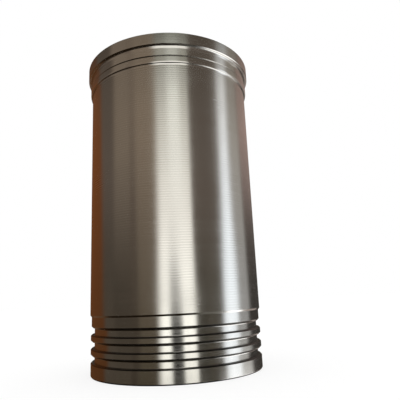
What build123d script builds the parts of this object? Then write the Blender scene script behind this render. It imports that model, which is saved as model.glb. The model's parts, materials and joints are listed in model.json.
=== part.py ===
from build123d import *
from math import radians, tan
import os

# Wet cylinder liner: one turned casting, standing on its lower end face.
# Millimetres, +Z up, origin in the middle of the lower end face.

overall_length = 292.0
bore_diameter = 137.2
jacket_wall = 9.55

# Heights, from the top face down: flange, filler ring relief, upper register
flange_thickness = 11.1
relief_width = 9.0
register_width = 7.5

# Heights, from the lower end up: foot, seal grooves with ribs between them, neck
foot_height = 11.4
seal_groove_count = 3
seal_groove_width = 5.7
rib_width = 6.0
neck_width = 9.5

# Steps from one turned surface to the next, measured along the radius
register_rise = 1.75
relief_depth = 0.8
flange_overhang = 2.3
neck_drop = 1.25
lower_fit_drop = 0.65
seal_groove_depth = 3.3

# Edges and corners
flange_top_chamfer = 0.5
flange_seat_chamfer = 0.4
relief_fillet = 0.5
register_step_fillet = 0.4
land_lower_chamfer = 1.4
land_upper_chamfer = 0.9
seal_floor_fillet = 0.4
seal_roof_fillet = 1.0
bore_top_chamfer = 1.0
bore_lead_in = 2.5
bore_lead_in_angle = 30.0

# Tapers: how high each is, and how far it changes the radius
relief_lean = 0.1
relief_shoulder_height = 2.4
relief_shoulder = 0.48
register_top_height = 1.7
register_lead_height = 0.9
register_lead = 0.24
jacket_swell_height = 1.4
jacket_swell = 0.35
jacket_end_height = 1.4
jacket_end_drop = 1.05
foot_edge_height = 0.9
foot_edge_drop = 0.5

# Radii and heights that follow from them
bore_radius = bore_diameter / 2
jacket_radius = bore_radius + jacket_wall
register_radius = jacket_radius + register_rise
relief_radius = register_radius - relief_depth
flange_radius = register_radius + flange_overhang
neck_radius = jacket_radius - neck_drop
lower_fit_radius = jacket_radius - lower_fit_drop
seal_groove_radius = lower_fit_radius - seal_groove_depth
flange_seat = overall_length - flange_thickness
register_top = flange_seat - relief_width
register_bottom = register_top - register_width
seal_pitch = seal_groove_width + rib_width
neck_bottom = foot_height + seal_groove_count * seal_pitch - rib_width
neck_top = neck_bottom + neck_width


def corner(radius, height, rounding=0.0):
    """A corner of the half section: how far from the axis, how high, and how rounded it is."""
    return radius, height, rounding


def lower_bevel(radius, height, size):
    """The two corners of a chamfer at the lower edge of a turned surface."""
    return [corner(radius - size, height), corner(radius, height + size)]


def upper_bevel(radius, height, size):
    """The two corners of a chamfer at the upper edge of a turned surface."""
    return [corner(radius, height - size), corner(radius - size, height)]


def seal_groove(bottom, radius_above):
    """A square groove between two bevelled lands. The land below it is always of the lower fit."""
    top = bottom + seal_groove_width
    return [
        *upper_bevel(lower_fit_radius, bottom, land_upper_chamfer),
        corner(seal_groove_radius, bottom, seal_floor_fillet),
        corner(seal_groove_radius, top, seal_roof_fillet),
        *lower_bevel(radius_above, top, land_lower_chamfer),
    ]


def lower_fit():
    """Foot, seal grooves with the ribs between them, and the neck up to the jacket."""
    lands_above = [lower_fit_radius] * (seal_groove_count - 1) + [neck_radius]
    corners = [corner(lower_fit_radius - foot_edge_drop, 0), corner(lower_fit_radius, foot_edge_height)]
    for index, radius_above in enumerate(lands_above):
        corners += seal_groove(foot_height + index * seal_pitch, radius_above)
    return corners + [corner(neck_radius, neck_top)]


def jacket():
    """The long plain outside that the coolant wets. It swells a little just under the register."""
    return [
        corner(jacket_radius - jacket_end_drop, neck_top),
        corner(jacket_radius, neck_top + jacket_end_height),
        corner(jacket_radius, register_bottom - jacket_swell_height),
        corner(jacket_radius + jacket_swell, register_bottom, register_step_fillet),
    ]


def upper_fit():
    """The register, the relief over it and the flange."""
    return [
        corner(register_radius - register_lead, register_bottom),
        corner(register_radius, register_bottom + register_lead_height),
        corner(register_radius, register_top - register_top_height),
        corner(relief_radius, register_top),
        corner(relief_radius + relief_lean, flange_seat - relief_shoulder_height),
        corner(relief_radius + relief_lean + relief_shoulder, flange_seat, relief_fillet),
        *lower_bevel(flange_radius, flange_seat, flange_seat_chamfer),
        *upper_bevel(flange_radius, overall_length, flange_top_chamfer),
    ]


def bore():
    """The bore, down from its top chamfer to the lead-in at its lower end."""
    flare = bore_lead_in * tan(radians(bore_lead_in_angle))
    return [
        corner(bore_radius + bore_top_chamfer, overall_length),
        corner(bore_radius, overall_length - bore_top_chamfer),
        corner(bore_radius, bore_lead_in),
        corner(bore_radius + flare, 0),
    ]


def cylinder_liner():
    """Turns the half section once round the axis."""
    corners = lower_fit() + jacket() + upper_fit() + bore()
    outline = FilletPolyline(
        *[(radius, 0, height) for radius, height, _ in corners],
        radius=[rounding for _, _, rounding in corners],
        close=True,
    )
    return revolve(make_face(outline), axis=Axis.Z)


os.makedirs("parts", exist_ok=True)
liner = cylinder_liner()
liner.label = "cylinder_liner"
export_step(liner, "parts/cylinder_liner.step")
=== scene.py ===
import json
from math import atan2, cos, hypot, pi, radians, sin, tan

import bmesh
import bpy
from mathutils import Matrix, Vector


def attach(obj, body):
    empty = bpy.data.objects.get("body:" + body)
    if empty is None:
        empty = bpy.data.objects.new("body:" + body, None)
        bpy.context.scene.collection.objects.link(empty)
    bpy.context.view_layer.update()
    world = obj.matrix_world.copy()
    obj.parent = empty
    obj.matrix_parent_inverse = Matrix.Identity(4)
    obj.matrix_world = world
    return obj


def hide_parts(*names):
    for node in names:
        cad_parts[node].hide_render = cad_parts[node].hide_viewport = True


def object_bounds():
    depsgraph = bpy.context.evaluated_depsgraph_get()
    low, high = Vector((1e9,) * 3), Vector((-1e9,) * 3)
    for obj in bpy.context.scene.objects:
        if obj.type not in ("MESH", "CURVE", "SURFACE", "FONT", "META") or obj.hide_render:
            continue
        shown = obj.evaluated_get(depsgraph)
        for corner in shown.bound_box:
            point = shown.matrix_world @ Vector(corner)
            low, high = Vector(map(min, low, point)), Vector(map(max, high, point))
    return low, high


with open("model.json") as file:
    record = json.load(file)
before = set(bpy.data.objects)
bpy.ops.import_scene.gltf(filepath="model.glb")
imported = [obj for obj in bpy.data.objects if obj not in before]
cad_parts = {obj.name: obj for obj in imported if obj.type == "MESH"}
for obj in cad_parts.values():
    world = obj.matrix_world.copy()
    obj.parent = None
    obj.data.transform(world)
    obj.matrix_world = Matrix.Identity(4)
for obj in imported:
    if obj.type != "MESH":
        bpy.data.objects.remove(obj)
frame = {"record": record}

mm = 0.001
micron = 0.000001
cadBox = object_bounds()


def mountRadius(name):
    return next(mount["dims"]["r_mm"] for mount in frame["record"]["mounts"] if mount["name"] == name)


def nodeMaker(material):
    # makes a node of the material, and fills its inputs with values or links
    tree = material.node_tree

    def make(kind, inputs=None, **settings):
        node = tree.nodes.new("ShaderNode" + kind)
        for key, value in settings.items():
            setattr(node, key, value)
        for socket, value in (inputs or {}).items():
            if isinstance(value, bpy.types.NodeSocket):
                tree.links.new(value, node.inputs[socket])
            else:
                node.inputs[socket].default_value = value
        return node

    return make


# the metal: all finishes are one grey iron, cut in different ways
iron = {
    "light": (0.69, 0.68, 0.655, 1),
    "dark": (0.60, 0.585, 0.555, 1),
    "anisotropic": 0.6,
    "arcs": 7,  # streaks per metre round the liner
    "smears": 22,  # per metre
    "wornFrom": 0.7,  # streaks and smears together, where the metal is smoothest and roughest
    "wornTo": 1.3,
}
turnedJacket = {
    "tone": 1,
    "roughness": 0.22,
    "roughnessSpread": 0.05,
    "lines": 700,  # tool lines per metre along the section
    "lineHeight": 0.5,  # micrometres
    "bands": 45,
    "ripplePitch": 2.1,
    "rippleHeight": 7,  # micrometres, either way
    "rippleBlur": 0.014,  # its rings are rougher and duller by turns
    "rippleShade": -0.27,
    "rippleFrom": 0.045,  # it starts at this height in the middle, and is full at the next one
    "rippleFull": 0.1,
    "rippleSlant": 0.9,  # how much further down it reaches towards +X
    "rippleWander": 1.6,
    "wanderStreaks": (5, 60),  # round and along, per metre
    "patchStreaks": (9, 130),
    "patchFaintest": 0.5,
    "patchStrongest": 1.3,
}
fineTurned = {
    "tone": 1,
    "roughness": 0.17,
    "roughnessSpread": 0.04,
    "lines": 900,
    "lineHeight": 0.3,
    "bands": 90,
}
paintedShadeLips = {
    "tone": 0.17,  # painted shade: the lower lips of the grooves are darkened
    "roughness": 0.3,
    "roughnessSpread": 0.1,
    "lines": 1500,
    "lineHeight": 0.8,
    "bands": 250,
}
paintedShadowFoot = {**paintedShadeLips, "tone": 0.05}  # painted shadow: the bottom edge it stands on is darker still
facedEnds = {
    "tone": 1,
    "roughness": 0.32,
    "roughnessSpread": 0.08,
    "lines": 1200,
    "lineHeight": 1.2,
    "bands": 300,
}
honedBore = {
    "roughness": 0.3,
    "roughnessSpread": 0.1,
    "anisotropic": 0.2,
    "angle": 27,  # of the scratches from level, either way
    "across": 1100,
    "length": 14,
    "scratchHeight": 3,
    "cutDeepest": 0.3,  # noise below this is a full scratch, and above the next one none
    "cutNone": 0.62,
}


def ironShader(material, make, anisotropic):
    shader = material.node_tree.nodes["Principled BSDF"]
    shader.inputs["Metallic"].default_value = 1
    shader.inputs["Anisotropic"].default_value = anisotropic
    tangent = make("Tangent", direction_type="UV_MAP", uv_map="turning")
    material.node_tree.links.new(tangent.outputs["Tangent"], shader.inputs["Tangent"])
    return shader


def roughSpan(look):
    middle, spread = look["roughness"], look["roughnessSpread"]
    return {"To Min": middle - spread, "To Max": middle + spread}


def rippleWave(make, look, place, along, streaks):
    # rings that the tool left, a little uneven, and fading out towards the neck
    drift = streaks(*look["wanderStreaks"], 1)
    wander = make("Math", {0: drift, 1: look["rippleWander"]}, operation="MULTIPLY")
    turns = 2 * pi / (look["ripplePitch"] * mm)
    phase = make("Math", {0: along, 1: turns, 2: wander.outputs[0]}, operation="MULTIPLY_ADD")
    rings = make("Math", {0: phase.outputs[0]}, operation="SINE")
    slanted = {0: place.outputs["X"], 1: look["rippleSlant"], 2: place.outputs["Z"]}
    risen = make("MapRange", {
        "Value": make("Math", slanted, operation="MULTIPLY_ADD").outputs[0],
        "From Min": look["rippleFrom"], "From Max": look["rippleFull"],
    }, interpolation_type="SMOOTHSTEP")
    patchy = make("MapRange", {
        "Value": streaks(*look["patchStreaks"], 1), "From Min": 0.3, "From Max": 0.7,  # most of the noise
        "To Min": look["patchFaintest"], "To Max": look["patchStrongest"],
    })
    strength = make("Math", {0: risen.outputs[0], 1: patchy.outputs[0]}, operation="MULTIPLY")
    return make("Math", {0: rings.outputs[0], 1: strength.outputs[0]}, operation="MULTIPLY").outputs[0]


def turnedMetal(name, look):
    material = bpy.data.materials.new(name)
    material.use_nodes = True
    make = nodeMaker(material)
    links = material.node_tree.links
    shader = ironShader(material, make, iron["anisotropic"])

    # a place on the surface: round the liner by X and Y, and along its section by U
    place = make("SeparateXYZ", {0: make("TexCoord").outputs["Object"]})
    along = make("SeparateXYZ", {0: make("UVMap", uv_map="turning").outputs["UV"]}).outputs["X"]
    turned = make("CombineXYZ", {"X": place.outputs["X"], "Y": place.outputs["Y"], "Z": along}).outputs[0]

    def streaks(arcs, lines, detail):
        stretched = make("VectorMath", {0: turned, 1: (arcs, arcs, lines)}, operation="MULTIPLY")
        return make("TexNoise", {"Vector": stretched.outputs[0], "Scale": 1, "Detail": detail}).outputs[0]

    lines = streaks(iron["arcs"], look["lines"], 2)
    bands = streaks(iron["arcs"] / 3, look["bands"], 1)  # three times as long as the lines
    smears = make("TexNoise", {"Vector": turned, "Scale": iron["smears"], "Detail": 3}).outputs[0]

    both = make("Math", {0: lines, 1: bands}, operation="ADD")
    shade = make("Math", {0: both.outputs[0], 1: 0.5}, operation="MULTIPLY").outputs[0]
    height = make("Math", {0: lines, 1: look["lineHeight"]}, operation="MULTIPLY").outputs[0]
    worn = make("Math", {0: shade, 1: smears}, operation="ADD")
    rough = make("MapRange", {
        "Value": worn.outputs[0], "From Min": iron["wornFrom"], "From Max": iron["wornTo"],
        **roughSpan(look),
    }).outputs[0]
    if "ripplePitch" in look:
        wave = rippleWave(make, look, place, along, streaks)
        shade, height, rough = [
            make("Math", {0: wave, 1: look[key], 2: channel}, operation="MULTIPLY_ADD").outputs[0]
            for key, channel in (("rippleShade", shade), ("rippleHeight", height), ("rippleBlur", rough))
        ]
    dark, light = [(*[look["tone"] * part for part in iron[name][:3]], 1) for name in ("dark", "light")]
    colour = make("Mix", {"Factor": shade, "A": dark, "B": light}, data_type="RGBA")
    links.new(colour.outputs["Result"], shader.inputs["Base Color"])
    links.new(rough, shader.inputs["Roughness"])

    bump = make("Bump", {"Height": height, "Distance": micron})
    links.new(bump.outputs[0], shader.inputs["Normal"])
    return material


def honedMetal(name, look):
    material = bpy.data.materials.new(name)
    material.use_nodes = True
    make = nodeMaker(material)
    links = material.node_tree.links
    shader = ironShader(material, make, look["anisotropic"])
    surface = make("UVMap", uv_map="turning").outputs["UV"]

    def scratches(side):
        leaning = make("Mapping", {"Vector": surface, "Rotation": (0, 0, radians(side * look["angle"]))})
        size = (look["across"], look["length"], 1)
        stretched = make("VectorMath", {0: leaning.outputs[0], 1: size}, operation="MULTIPLY")
        grain = {"Vector": stretched.outputs[0], "Scale": 1, "Detail": 2}
        noise = make("TexNoise", grain, noise_dimensions="2D")
        return make("MapRange", {
            "Value": noise.outputs[0], "From Min": look["cutDeepest"], "From Max": look["cutNone"],
            "To Min": 1, "To Max": 0,
        }).outputs[0]

    cuts = make("Math", {0: scratches(1), 1: scratches(-1)}, operation="MAXIMUM").outputs[0]
    colour = make("Mix", {"Factor": cuts, "A": iron["light"], "B": iron["dark"]}, data_type="RGBA")
    links.new(colour.outputs["Result"], shader.inputs["Base Color"])
    rough = make("MapRange", {"Value": cuts, **roughSpan(look)})
    links.new(rough.outputs[0], shader.inputs["Roughness"])
    height = make("Math", {0: cuts, 1: -look["scratchHeight"]}, operation="MULTIPLY")
    bump = make("Bump", {"Height": height.outputs[0], "Distance": micron})
    links.new(bump.outputs[0], shader.inputs["Normal"])
    return material


finishes = [
    turnedMetal("turnedJacket", turnedJacket),
    turnedMetal("fineTurned", fineTurned),
    turnedMetal("facedEnds", facedEnds),
    honedMetal("honedBore", honedBore),
    turnedMetal("paintedShadeLips", paintedShadeLips),
    turnedMetal("paintedShadowFoot", paintedShadowFoot),
]
finishNames = [finish.name for finish in finishes]
print("finishes ready:", ", ".join(finishNames))

# the liner's section, in millimetres: its reach and its fits are the frame's, the steps are here
liner = {
    "steps": 320,  # faces round the axis
    "flangeThickness": 11.1,
    "reliefWidth": 9.0,
    "reliefDepth": 0.8,
    "registerWidth": 7.5,
    "jacketDrop": 1.75,  # from the register down to the jacket
    "neckDrop": 1.25,  # from the jacket down to the neck
    "neckWidth": 9.5,
    "grooves": 3,
    "grooveWidth": 5.7,
    "grooveDepth": 3.3,
    "ribWidth": 6.0,
    "footHeight": 11.4,
    "flangeTopChamfer": 0.5,
    "flangeSeatChamfer": 0.4,
    "reliefTaper": (2.4, 0.1),  # where it steepens below the flange, and how far it has risen till there
    "reliefRise": 0.58,
    "reliefFillet": 0.5,
    "registerChamfer": (1.7, 0.78),  # height and depth, as in the next ones
    "registerLead": (0.9, 0.24),  # the taper that starts it into its bore
    "registerTaper": (1.4, 0.35),  # the swelling of the jacket under it
    "registerFillet": 0.4,
    "jacketChamfer": (1.4, 1.05),
    "neckFillet": 0.12,
    "landChamfer": (1.4, 0.9),  # of a land's lower and upper edge
    "grooveFillet": (0.4, 1.0),  # at the groove's bottom and top
    "footChamfer": (0.9, 0.5),
    "boreTopChamfer": 1.0,
    "boreLeadIn": 2.5,
    "boreLeadInAngle": 30,
    "roundSegments": 6,
    "longestRun": 16,  # a longer plain run is divided
    "endStrip": 0.2,  # kept beside each rounding, so that the run between shades flat
    "stripsFrom": 1.2,  # a shorter run has no such strips
    "sharpFrom": 30,  # degrees
}


def linerSection(size):
    # corners from the foot's outside up to the deck and down the bore: radius, height, rounding
    length, flange = cadBox[1].z / mm, cadBox[1].x / mm
    bore, register, fit = mountRadius("bore"), mountRadius("upper_register"), mountRadius("lower_fit")
    jacket = register - size["jacketDrop"]
    relief = register - size["reliefDepth"]
    neck = jacket - size["neckDrop"]
    grooveFloor = fit - size["grooveDepth"]
    seat = length - size["flangeThickness"]
    registerTop = seat - size["reliefWidth"]
    registerBottom = registerTop - size["registerWidth"]
    pitch = size["grooveWidth"] + size["ribWidth"]
    neckTop = size["footHeight"] + size["grooves"] * pitch
    neckTop += size["neckWidth"] - size["ribWidth"]

    edgeTop, edgeDepth = size["footChamfer"]
    lower, upper = size["landChamfer"]
    bottomFillet, topFillet = size["grooveFillet"]
    endHeight, endDepth = size["jacketChamfer"]
    swellHeight, swell = size["registerTaper"]
    leadHeight, leadDepth = size["registerLead"]
    bevelHeight, bevelDepth = size["registerChamfer"]
    steepFrom, risen = size["reliefTaper"]

    corners = [(fit - edgeDepth, 0, 0), (fit, edgeTop, 0)]
    for groove in range(size["grooves"]):
        bottom = size["footHeight"] + groove * pitch
        top = bottom + size["grooveWidth"]
        above = neck if groove == size["grooves"] - 1 else fit
        corners += [
            (fit, bottom - upper, 0),
            (fit - upper, bottom, 0),
            (grooveFloor, bottom, bottomFillet),
            (grooveFloor, top, topFillet),
            (above - lower, top, 0),
            (above, top + lower, 0),
        ]
    corners += [
        (neck, neckTop, size["neckFillet"]),
        (jacket - endDepth, neckTop, 0),
        (jacket, neckTop + endHeight, 0),
        (jacket, registerBottom - swellHeight, 0),
        (jacket + swell, registerBottom, size["registerFillet"]),
        (register - leadDepth, registerBottom, 0),
        (register, registerBottom + leadHeight, 0),
        (register, registerTop - bevelHeight, 0),
        (register - bevelDepth, registerTop, 0),
        (relief, registerTop, 0),
        (relief + risen, seat - steepFrom, 0),
        (relief + size["reliefRise"], seat, size["reliefFillet"]),
        (flange - size["flangeSeatChamfer"], seat, 0),
        (flange, seat + size["flangeSeatChamfer"], 0),
        (flange, length - size["flangeTopChamfer"], 0),
        (flange - size["flangeTopChamfer"], length, 0),
        (bore + size["boreTopChamfer"], length, 0),
        (bore, length - size["boreTopChamfer"], 0),
        (bore, size["boreLeadIn"], 0),
        (bore + size["boreLeadIn"] * tan(radians(size["boreLeadInAngle"])), 0, 0),
    ]
    return corners, {
        "bore": bore, "jacket": jacket, "grooveFloor": grooveFloor,
        "length": length, "neckTop": neckTop, "edgeTop": edgeTop,
    }


def finishOf(face, places):
    nearby = 0.05  # millimetres
    facingUp = 0.3
    centre = face.calc_center_median()
    radius, height = hypot(centre.x, centre.y) / mm, centre.z / mm
    if radius < places["bore"] + nearby:
        return "honedBore"
    if height < nearby or height > places["length"] - nearby:
        return "facedEnds"
    # painted shade: faces that look up among the grooves get the darkened lips finish
    if height < places["neckTop"] and face.normal.z > facingUp:
        return "paintedShadeLips"
    # painted shadow: the foot's lowest edge is blackened
    if height < places["edgeTop"] and radius > places["grooveFloor"]:
        return "paintedShadowFoot"
    return "turnedJacket" if abs(radius - places["jacket"]) < nearby else "fineTurned"


def drawSection(bm, corners, size):
    points = [bm.verts.new((radius * mm, 0, height * mm)) for radius, height, _ in corners]
    for point, after in zip(points, points[1:] + points[:1]):
        bm.edges.new((point, after))
    for point, (_, _, rounding) in zip(points, corners):
        if rounding:
            bmesh.ops.bevel(
                bm, geom=[point], offset=rounding * mm, offset_type="OFFSET", affect="VERTICES",
                segments=size["roundSegments"], profile=0.5, material=-1,
            )
    strip = size["endStrip"] * mm
    for run in bm.edges[:]:
        if run.calc_length() > size["stripsFrom"] * mm:
            middle, _ = bmesh.utils.edge_split(run, run.verts[0], strip / run.calc_length())
            middle = max(middle, run, key=lambda edge: edge.calc_length())
            bmesh.utils.edge_split(middle, middle.verts[0], 1 - strip / middle.calc_length())
    for run in bm.edges[:]:
        cuts = int(run.calc_length() / mm / size["longestRun"])
        if cuts:
            bmesh.ops.subdivide_edges(bm, edges=[run], cuts=cuts)


def measureSection(bm, layer):
    # the distance of each point along the closed section, up the outside first
    first = min(bm.verts, key=lambda point: (point.co.z, -point.co.x))
    edge = max(first.link_edges, key=lambda link: link.other_vert(first).co.z)
    walked, point = 0, first
    while point is not first or walked == 0:
        point[layer] = walked
        walked += edge.calc_length()
        point = edge.other_vert(point)
        edge = next(link for link in point.link_edges if link is not edge)
    return walked


def unrollSection(bm, layer, whole, radius):
    # U runs along the section and V round the axis, in metres, with its seam at the back
    unrolled = bm.loops.layers.uv.new("turning")
    for face in bm.faces:
        lengths = [loop.vert[layer] for loop in face.loops]
        angles = [atan2(loop.vert.co.x, -loop.vert.co.y) for loop in face.loops]
        for loop, length, angle in zip(face.loops, lengths, angles):
            if max(lengths) - length > whole / 2:
                length += whole
            if max(angles) - angle > pi:
                angle += 2 * pi
            loop[unrolled].uv = (length, angle * radius)


def turnLiner(size):
    corners, places = linerSection(size)
    bm = bmesh.new()
    drawSection(bm, corners, size)
    layer = bm.verts.layers.float.new("along")
    whole = measureSection(bm, layer)
    print("section drawn:", len(bm.verts), "points,", round(whole / mm, 1), "mm round")
    bmesh.ops.spin(
        bm, geom=bm.verts[:] + bm.edges[:], cent=(0, 0, 0), axis=(0, 0, 1), dvec=(0, 0, 0),
        angle=2 * pi, steps=size["steps"], use_merge=True, use_duplicate=False,
    )
    bmesh.ops.recalc_face_normals(bm, faces=bm.faces[:])
    for face in bm.faces:
        face.smooth = True
        face.material_index = finishNames.index(finishOf(face, places))
    for edge in bm.edges:
        edge.smooth = edge.calc_face_angle(0) < radians(size["sharpFrom"])
    unrollSection(bm, layer, whole, places["bore"] * mm)
    mesh = bpy.data.meshes.new("turnedLiner")
    bm.to_mesh(mesh)
    bm.free()
    for finish in finishes:
        mesh.materials.append(finish)
    piece = bpy.data.objects.new("turnedLiner", mesh)
    bpy.context.scene.collection.objects.link(piece)
    return piece


turnedLiner = turnLiner(liner)
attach(turnedLiner, "root")
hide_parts("cylinder_liner")
print("liner turned:", len(turnedLiner.data.polygons), "faces")

# the studio, in metres and degrees: cards stand round the liner and show only in its reflections
studio = {
    "radius": 1.2,
    "bottom": -0.25,
    "top": 1.5,
    "fullGlow": 2,  # strength at a card colour of 1
    "stepAngle": 2,
    "boardSides": 96,
}

# a card runs from one angle to the next, counted from the front towards the right, and may lean over;
# nearer is how far inside the room's radius it stands, and inner how far from the axis its lower side;
# glow gives a height and the light there, feather how softly its sides start and end, in degrees,
# and fade how softly its top does, or its bottom if no top is given
cards = {
    "roomWall": {
        "from": -180, "to": 180, "nearer": -0.05,
        "glow": {
            -0.25: (0.1, 0.08, 0.06), 0.2: (0.08, 0.065, 0.05), 0.5: (0.14, 0.11, 0.09),
            0.9: (0.12, 0.095, 0.075), 1.1: (0.09, 0.07, 0.055), 1.25: (0.02, 0.015, 0.01),
        },
    },
    "brownWall": {
        "from": -160, "to": -97, "lean": -20, "feather": 10,
        "glow": {
            -0.2: (0.1, 0.04, 0.015), 0.5: (0.185, 0.062, 0.02), 0.8: (0.18, 0.072, 0.03),
            0.93: (0.11, 0.055, 0.032), 1.1: (0.065, 0.04, 0.028), 1.22: (0.02, 0.015, 0.01),
        },
    },
    "leftRoom": {
        "from": -88, "to": -16, "feather": 8, "featherRight": 2,
        "glow": {
            -0.25: (0.12, 0.1, 0.075), -0.15: (0.088, 0.07, 0.052), 0.1: (0.056, 0.045, 0.034),
            0.45: (0.2, 0.16, 0.125), 0.65: (0.26, 0.205, 0.155), 1.1: (0.22, 0.175, 0.135),
            1.25: (0.02, 0.015, 0.01),
        },
    },
    "nearWall": {
        "from": -50, "to": -16, "feather": 6, "featherRight": 2, "nearer": 0.01,
        "glow": {
            -0.2: (0.09, 0.075, 0.05), 0.36: (0.21, 0.165, 0.125), 0.65: (0.31, 0.24, 0.178),
            1.1: (0.23, 0.185, 0.14), 1.25: (0.02, 0.015, 0.01),
        },
    },
    "leftPost": {
        "from": -59, "to": -48, "feather": 4, "nearer": 0.02,
        "glow": {
            0.0: (0.07, 0.055, 0.04), 0.36: (0.13, 0.1, 0.08), 0.7: (0.22, 0.17, 0.13),
            1.1: (0.21, 0.165, 0.125), 1.25: (0.02, 0.015, 0.01),
        },
    },
    "rightRoom": {
        "from": 18, "to": 70, "feather": 3,
        "glow": {
            -0.25: (0.14, 0.13, 0.105), -0.185: (0.1, 0.09, 0.07), -0.14: (0.075, 0.065, 0.05),
            0.1: (0.1, 0.09, 0.07), 0.4: (0.15, 0.12, 0.1), 1.1: (0.12, 0.1, 0.08),
            1.25: (0.02, 0.015, 0.01),
        },
    },
    "besideWindow": {
        "from": 22, "to": 42, "feather": 4, "nearer": 0.005, "top": 0.3, "fade": 0.4,
        "glow": {-0.25: (0.05, 0.045, 0.033), 0.3: (0.06, 0.052, 0.04)},
    },
    "footGlow": {
        "from": 46, "to": 68, "feather": 9, "nearer": 0.01, "top": -0.15, "fade": 0.06,
        "glow": {-0.25: (0.15, 0.14, 0.12), -0.1: (0.13, 0.12, 0.105)},
    },
    "rightWall": {
        "from": 53, "to": 119, "feather": 22, "featherRight": 13,
        "glow": {
            -0.2: (0.5, 0.49, 0.46), 0.0: (0.38, 0.38, 0.38), 0.6: (0.46, 0.43, 0.39),
            0.85: (0.33, 0.3, 0.26), 1.1: (0.22, 0.19, 0.16), 1.25: (0.04, 0.035, 0.03),
        },
    },
    "farRight": {
        "from": 108, "to": 162, "feather": 10,
        "glow": {
            0.1: (0.05, 0.045, 0.04), 0.3: (0.12, 0.1, 0.09), 0.45: (0.26, 0.2, 0.18),
            0.7: (0.4, 0.29, 0.255), 1.1: (0.2, 0.15, 0.125), 1.25: (0.03, 0.025, 0.02),
        },
    },
    "backWindow": {
        "from": 162, "to": 198, "feather": 8, "top": 0.06, "fade": 0.12,
        "glow": {-0.25: (0.9, 0.9, 0.9), 0.05: (1.1, 1.1, 1.1)},
    },
    "warmWindow": {
        "from": -25.7, "to": 25.3, "lean": 3.5, "feather": 10.5, "featherRight": 4, "nearer": 0.04,
        "glow": {
            -0.25: (1.35, 1.33, 1.22), 0.0: (1.8, 1.79, 1.68), 0.25: (1.32, 1.28, 1.21),
            0.6: (1.07, 1.04, 0.95), 0.88: (0.43, 0.42, 0.35), 1.1: (0.03, 0.03, 0.025),
        },
    },
    "windowHeart": {
        "from": -8, "to": 18, "feather": 9, "nearer": 0.06, "bottom": 0.35, "fade": 0.2,
        "glow": {
            0.4: (1.28, 1.26, 1.2), 0.8: (1.3, 1.3, 1.19), 0.92: (0.28, 0.29, 0.23),
            1.15: (0.07, 0.07, 0.06),
        },
    },
    "coolFoot": {
        "from": 58.5, "to": 94, "feather": 12, "nearer": 0.03, "top": 0.5, "fade": 0.5,
        "glow": {-0.25: (1.3, 1.35, 1.4), 0.1: (1.35, 1.45, 1.55), 0.5: (1.2, 1.25, 1.32)},
    },
    "coolLeft": {
        "from": 62, "to": 84, "lean": 3.5, "feather": 12.5, "featherRight": 6, "nearer": 0.035,
        "glow": {
            -0.25: (1.35, 1.4, 1.45), 0.1: (1.4, 1.5, 1.6), 0.5: (1.2, 1.25, 1.32),
            0.8: (1.03, 1.03, 1.01), 0.94: (0.43, 0.43, 0.42), 1.15: (0.14, 0.14, 0.13),
        },
    },
    "coolWindow": {
        "from": 63.5, "to": 86.5, "lean": 12, "feather": 11, "featherRight": 15, "nearer": 0.04,
        "glow": {
            -0.25: (1.35, 1.4, 1.45), 0.1: (1.35, 1.45, 1.55), 0.5: (1.2, 1.25, 1.32),
            0.8: (1.12, 1.12, 1.1), 0.94: (0.42, 0.42, 0.41), 1.15: (0.12, 0.12, 0.11),
        },
    },
    "warmFoot": {
        "from": 12, "to": 26.9, "feather": 5, "featherRight": 3, "nearer": 0.045,
        "top": 0.08, "fade": 0.08,
        "glow": {-0.25: (1.35, 1.33, 1.22), 0.0: (1.8, 1.79, 1.68), 0.08: (1.65, 1.63, 1.53)},
    },
    "postTip": {
        "from": -4.4, "to": 8.4, "lean": -4, "feather": 4, "nearer": 0.101, "top": 0.2, "fade": 0.15,
        "glow": {-0.2: (0.005, 0.005, 0.005), 0.2: (0.005, 0.005, 0.005)},
    },
    "middlePost": {
        "from": -7, "to": 12.2, "lean": -3.5, "feather": 4.5, "nearer": 0.1, "top": 0.14, "fade": 0.14,
        "glow": {-0.2: (0.03, 0.03, 0.03), -0.12: (0.005, 0.005, 0.005)},
    },
    # the last four lie almost flat on the bench
    "leftOfBench": {
        "from": -180, "to": -112, "feather": 12, "inner": 0.35,
        "bottom": -0.2495, "top": -0.24,
        "glow": {-0.2495: (0.1, 0.055, 0.03), -0.24: (0.16, 0.08, 0.04)},
    },
    "dimBench": {
        "from": 30, "to": 96, "feather": 16, "inner": 0.09, "nearer": 0.86,
        "bottom": -0.247, "top": -0.244,
        "glow": {-0.247: (0.15, 0.14, 0.12), -0.244: (0.16, 0.15, 0.13)},
    },
    "rightOfBench": {
        "from": 98, "to": 180, "feather": 10, "inner": 0.35, "nearer": 0.12,
        "bottom": -0.2495, "top": -0.24,
        "glow": {-0.2495: (0.35, 0.3, 0.27), -0.24: (0.45, 0.38, 0.34)},
    },
    "lightOnBench": {
        "from": 46, "to": 119, "feather": 26, "featherRight": 10, "inner": 0.09,
        "bottom": -0.249, "top": -0.235,
        "glow": {-0.249: (1.1, 1.1, 1.1), -0.246: (2, 2, 2)},
    },
}


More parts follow.
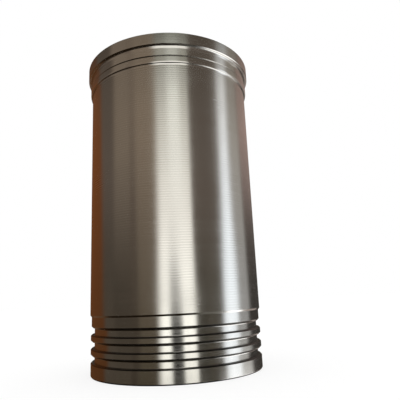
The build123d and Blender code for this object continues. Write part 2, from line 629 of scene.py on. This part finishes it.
def glowMaterial(name, axis, glow, feathers=None):
    # light that changes along one axis, and thins out to nothing at the card's edges
    material = bpy.data.materials.new(name)
    material.use_nodes = True
    material.cycles.emission_sampling = "NONE"  # the floor would hide the low ones from sampled light
    material.node_tree.nodes.clear()
    make = nodeMaker(material)
    heights = sorted(glow)
    low, high = heights[0], heights[-1]
    place = make("SeparateXYZ", {0: make("TexCoord").outputs["Object"]}).outputs[axis]
    share = make("MapRange", {"Value": place, "From Min": low, "From Max": high}).outputs[0]
    ramp = make("ValToRGB", {"Fac": share})
    stops = ramp.color_ramp.elements
    stops.remove(stops[1])
    for index, height in enumerate(heights):
        position = (height - low) / (high - low)
        stop = stops[0] if index == 0 else stops.new(position)
        stop.position = position
        stop.color = (*[light / studio["fullGlow"] for light in glow[height]], 1)
    shader = make("Emission", {"Color": ramp.outputs["Color"], "Strength": studio["fullGlow"]})
    if feathers:
        card = make("SeparateXYZ", {0: make("UVMap", uv_map="card").outputs["UV"]})
        solid = 1
        for across, edge, inside in feathers:
            span = {"Value": card.outputs["X" if across else "Y"], "From Min": edge, "From Max": inside}
            shown = make("MapRange", span, interpolation_type="SMOOTHSTEP").outputs[0]
            solid = make("Math", {0: solid, 1: shown}, operation="MULTIPLY").outputs[0]
        clear = make("BsdfTransparent").outputs[0]
        shader = make("MixShader", {0: solid, 1: clear, 2: shader.outputs[0]})
    make("OutputMaterial", {"Surface": shader.outputs[0]})
    return material


def standInStudio(name, bm, material):
    mesh = bpy.data.meshes.new(name)
    bm.to_mesh(mesh)
    bm.free()
    mesh.materials.append(material)
    stand = bpy.data.objects.new(name, mesh)
    bpy.context.scene.collection.objects.link(stand)
    return stand


def onlyInReflections(stand):
    stand.visible_camera = False
    stand.visible_diffuse = False
    stand.visible_shadow = False


def standCard(name, card):
    radius = studio["radius"] - card.get("nearer", 0)
    inner = card.get("inner", radius)
    bottom, top = card.get("bottom", studio["bottom"]), card.get("top", studio["top"])
    start, span = radians(card["from"]), radians(card["to"] - card["from"])
    lean = radians(card.get("lean", 0))
    bm = bmesh.new()
    lower = bm.verts.new((inner * sin(start), -inner * cos(start), bottom))
    upper = bm.verts.new((radius * sin(start + lean), -radius * cos(start + lean), top))
    side = bm.edges.new((lower, upper))
    bmesh.ops.spin(
        bm, geom=[lower, upper, side], cent=(0, 0, 0), axis=(0, 0, 1), dvec=(0, 0, 0), angle=span,
        steps=round(span / radians(studio["stepAngle"])), use_merge=False, use_duplicate=False,
    )
    # U runs across the card from 0 to 1, and V is the height
    unrolled = bm.loops.layers.uv.new("card")
    for face in bm.faces:
        for loop in face.loops:
            up = (loop.vert.co.z - bottom) / (top - bottom)
            place = Matrix.Rotation(-start - span / 2 - lean * up, 3, "Z") @ loop.vert.co
            loop[unrolled].uv = (atan2(place.x, -place.y) / span + 0.5, loop.vert.co.z)
    feathers = []
    if "feather" in card:
        leftWide = radians(card["feather"]) / span
        rightWide = radians(card.get("featherRight", card["feather"])) / span
        feathers += [(True, 0, leftWide), (True, 1, 1 - rightWide)]
    if "fade" in card:
        fading = (top, top - card["fade"]) if "top" in card else (bottom, bottom + card["fade"])
        feathers.append((False, *fading))
    onlyInReflections(standInStudio(name, bm, glowMaterial(name, "Z", card["glow"], feathers)))


for name, card in cards.items():
    standCard(name, card)

# level boards below and above, with light that changes towards +X
boards = {
    "bench": {
        "radius": 1.3, "place": (0, 0, -0.25),
        "glow": {-0.6: (0.02, 0.012, 0.006), 0.5: (0.008, 0.006, 0.004)},
    },
    "frontBench": {
        "radius": 0.42, "place": (0.26, -0.85, -0.248),
        "glow": {-0.1: (0.12, 0.11, 0.09), 0.6: (0.3, 0.29, 0.27)},
    },
    "ceiling": {
        "radius": 1.3, "place": (0, 0, 1.5),
        "glow": {-1: (0.02, 0.016, 0.012), 1: (0.025, 0.022, 0.02)},
    },
    "skylight": {
        "radius": 0.45, "place": (0, 0.8, 1.49),
        "glow": {-0.4: (0.6, 0.6, 0.58), 0.4: (0.8, 0.8, 0.78)},
    },
}
for name, board in boards.items():
    bm = bmesh.new()
    bmesh.ops.create_circle(bm, cap_ends=True, radius=board["radius"], segments=studio["boardSides"])
    bmesh.ops.translate(bm, verts=bm.verts[:], vec=board["place"])
    onlyInReflections(standInStudio(name, bm, glowMaterial(name, "X", board["glow"])))
print("studio set:", len(cards), "cards and", len(boards), "boards")

# a white room and a pale paper floor that keeps a faint shadow
floorPaper = {
    "radius": 6,
    "sides": 128,
    "colour": (0.3, 0.3, 0.3, 1),
    "glow": 0.74,
}
world = bpy.data.worlds.new("whiteRoom")
world.use_nodes = True
world.node_tree.nodes["Background"].inputs["Color"].default_value = (1, 1, 1, 1)
world.node_tree.nodes["Background"].inputs["Strength"].default_value = 1
bpy.context.scene.world = world

paper = bpy.data.materials.new("paper")
paper.use_nodes = True
shader = paper.node_tree.nodes["Principled BSDF"]
shader.inputs["Base Color"].default_value = floorPaper["colour"]
shader.inputs["Roughness"].default_value = 1
shader.inputs["Specular IOR Level"].default_value = 0
shader.inputs["Emission Color"].default_value = (1, 1, 1, 1)
shader.inputs["Emission Strength"].default_value = floorPaper["glow"]
bm = bmesh.new()
bmesh.ops.create_circle(bm, cap_ends=True, radius=floorPaper["radius"], segments=floorPaper["sides"])
floor = standInStudio("floor", bm, paper)
floor.visible_glossy = False  # mirrored, it would wash out the dark bands
print("floor laid")

camera = {
    "distance": 415.6,  # millimetres in front of the axis
    "height": 62.3,
    "yaw": 3.804,
    "pitch": 12.951,
    "roll": -2.646,
    "focal": 425.7,  # in pixels of an image 400 wide
    "width": 400,
    "sensor": 36,
}
lens = bpy.data.cameras.new("viewer")
lens.sensor_width = camera["sensor"]
lens.lens = camera["focal"] * camera["sensor"] / camera["width"]
viewer = bpy.data.objects.new("viewer", lens)
bpy.context.scene.collection.objects.link(viewer)
viewer.matrix_world = (
    Matrix.Translation((0, -camera["distance"] * mm, camera["height"] * mm))
    @ Matrix.Rotation(radians(-camera["yaw"]), 4, "Z")
    @ Matrix.Rotation(radians(90 + camera["pitch"]), 4, "X")
    @ Matrix.Rotation(radians(camera["roll"]), 4, "Z")
)
bpy.context.scene.camera = viewer
bpy.context.scene.view_settings.view_transform = "Standard"
print("camera set")
